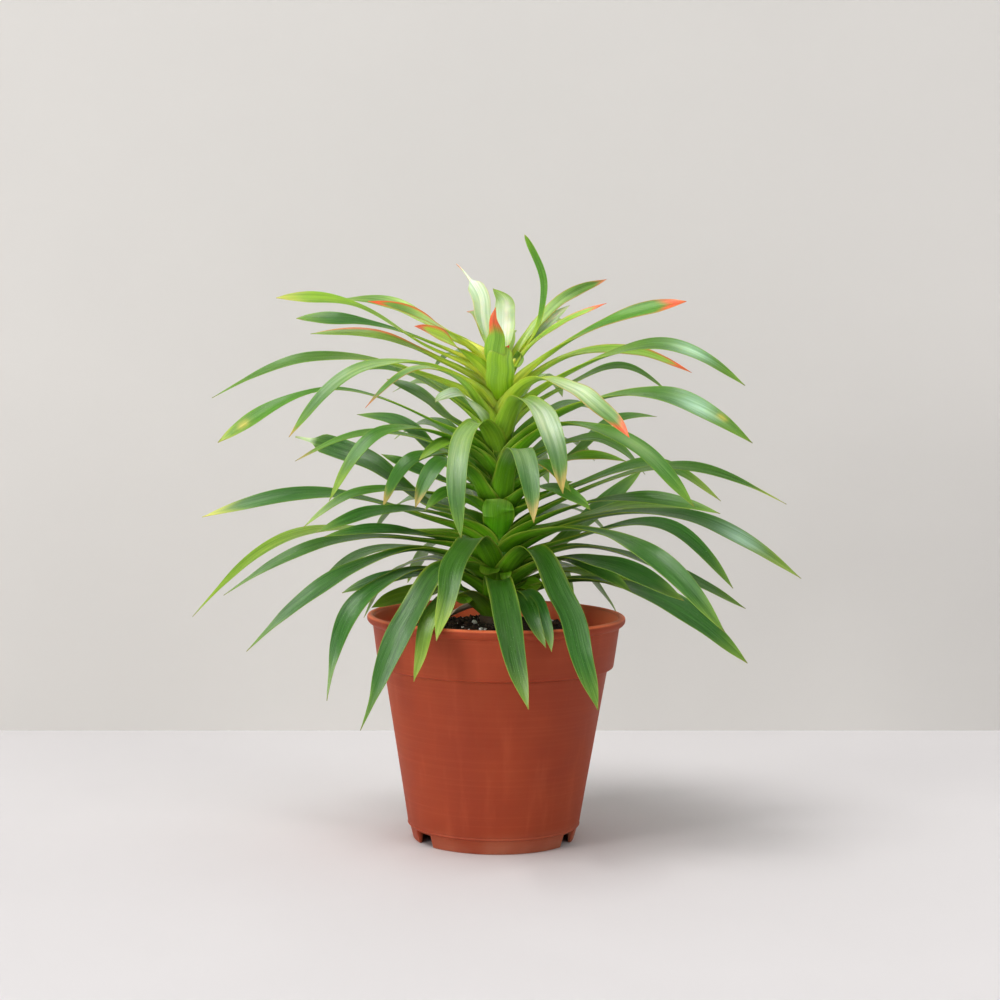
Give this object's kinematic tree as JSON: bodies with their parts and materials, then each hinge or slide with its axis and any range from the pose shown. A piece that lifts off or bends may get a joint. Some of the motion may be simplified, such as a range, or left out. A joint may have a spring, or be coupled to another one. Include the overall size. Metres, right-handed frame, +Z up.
{
  "type": "potted guzmania",
  "caption": "Bromeliad house plant with tiers of arching strap leaves on a short stem, standing in soil in a tapered terracotta-coloured plastic nursery pot.",
  "frame": {"origin": "centre of the pot's foot, on the surface that the pot stands on, under the middle of the plant's spread", "axes": "+Z up along the pot's axis, -Y towards the front, +X to the right seen from the front"},
  "size_m": [0.289, 0.2579, 0.2814],
  "materials": {
    "pot": "satin moulded polypropylene, terracotta colour",
    "soil": "loose dark peat mix with white perlite",
    "stem": "satin, pale green to lime young leaves with orange-red tips",
    "withered_leaf": "dry, matte, grey-brown",
    "leaf_low": "waxy semi-gloss, dark green",
    "leaf_middle": "waxy semi-gloss, mid green",
    "leaf_upper": "waxy semi-gloss, lime green with orange-red tips"
  },
  "bodies": {
    "root": {"pot": "pot", "soil": "soil", "stem": "stem", "fallen_leaf": "withered_leaf", "leaf_01": "leaf_low", "leaf_02": "leaf_low", "leaf_03": "leaf_low", "leaf_04": "leaf_low", "leaf_05": "leaf_low", "leaf_06": "leaf_low", "leaf_07": "leaf_low", "leaf_08": "leaf_low", "leaf_09": "leaf_low", "leaf_10": "leaf_low", "leaf_11": "leaf_low", "leaf_12": "leaf_low", "leaf_13": "leaf_low", "leaf_14": "leaf_low", "leaf_15": "leaf_low", "leaf_16": "leaf_low", "leaf_17": "leaf_low", "leaf_18": "leaf_low", "leaf_19": "leaf_low", "leaf_20": "leaf_low", "leaf_21": "leaf_low", "leaf_22": "leaf_low", "leaf_23": "leaf_low", "leaf_24": "leaf_middle", "leaf_25": "leaf_middle", "leaf_26": "leaf_middle", "leaf_27": "leaf_middle", "leaf_28": "leaf_middle", "leaf_29": "leaf_middle", "leaf_30": "leaf_middle", "leaf_31": "leaf_middle", "leaf_32": "leaf_middle", "leaf_33": "leaf_middle", "leaf_34": "leaf_middle", "leaf_35": "leaf_middle", "leaf_36": "leaf_middle", "leaf_37": "leaf_middle", "leaf_38": "leaf_middle", "leaf_39": "leaf_middle", "leaf_40": "leaf_middle", "leaf_41": "leaf_middle", "leaf_42": "leaf_middle", "leaf_43": "leaf_middle", "leaf_44": "leaf_middle", "leaf_45": "leaf_middle", "leaf_46": "leaf_middle", "leaf_47": "leaf_middle", "leaf_48": "leaf_upper", "leaf_49": "leaf_upper", "leaf_50": "leaf_upper", "leaf_51": "leaf_upper", "leaf_52": "leaf_upper", "leaf_53": "leaf_upper", "leaf_54": "leaf_upper", "leaf_55": "leaf_upper", "leaf_56": "leaf_upper"}
  },
  "joints": []
}
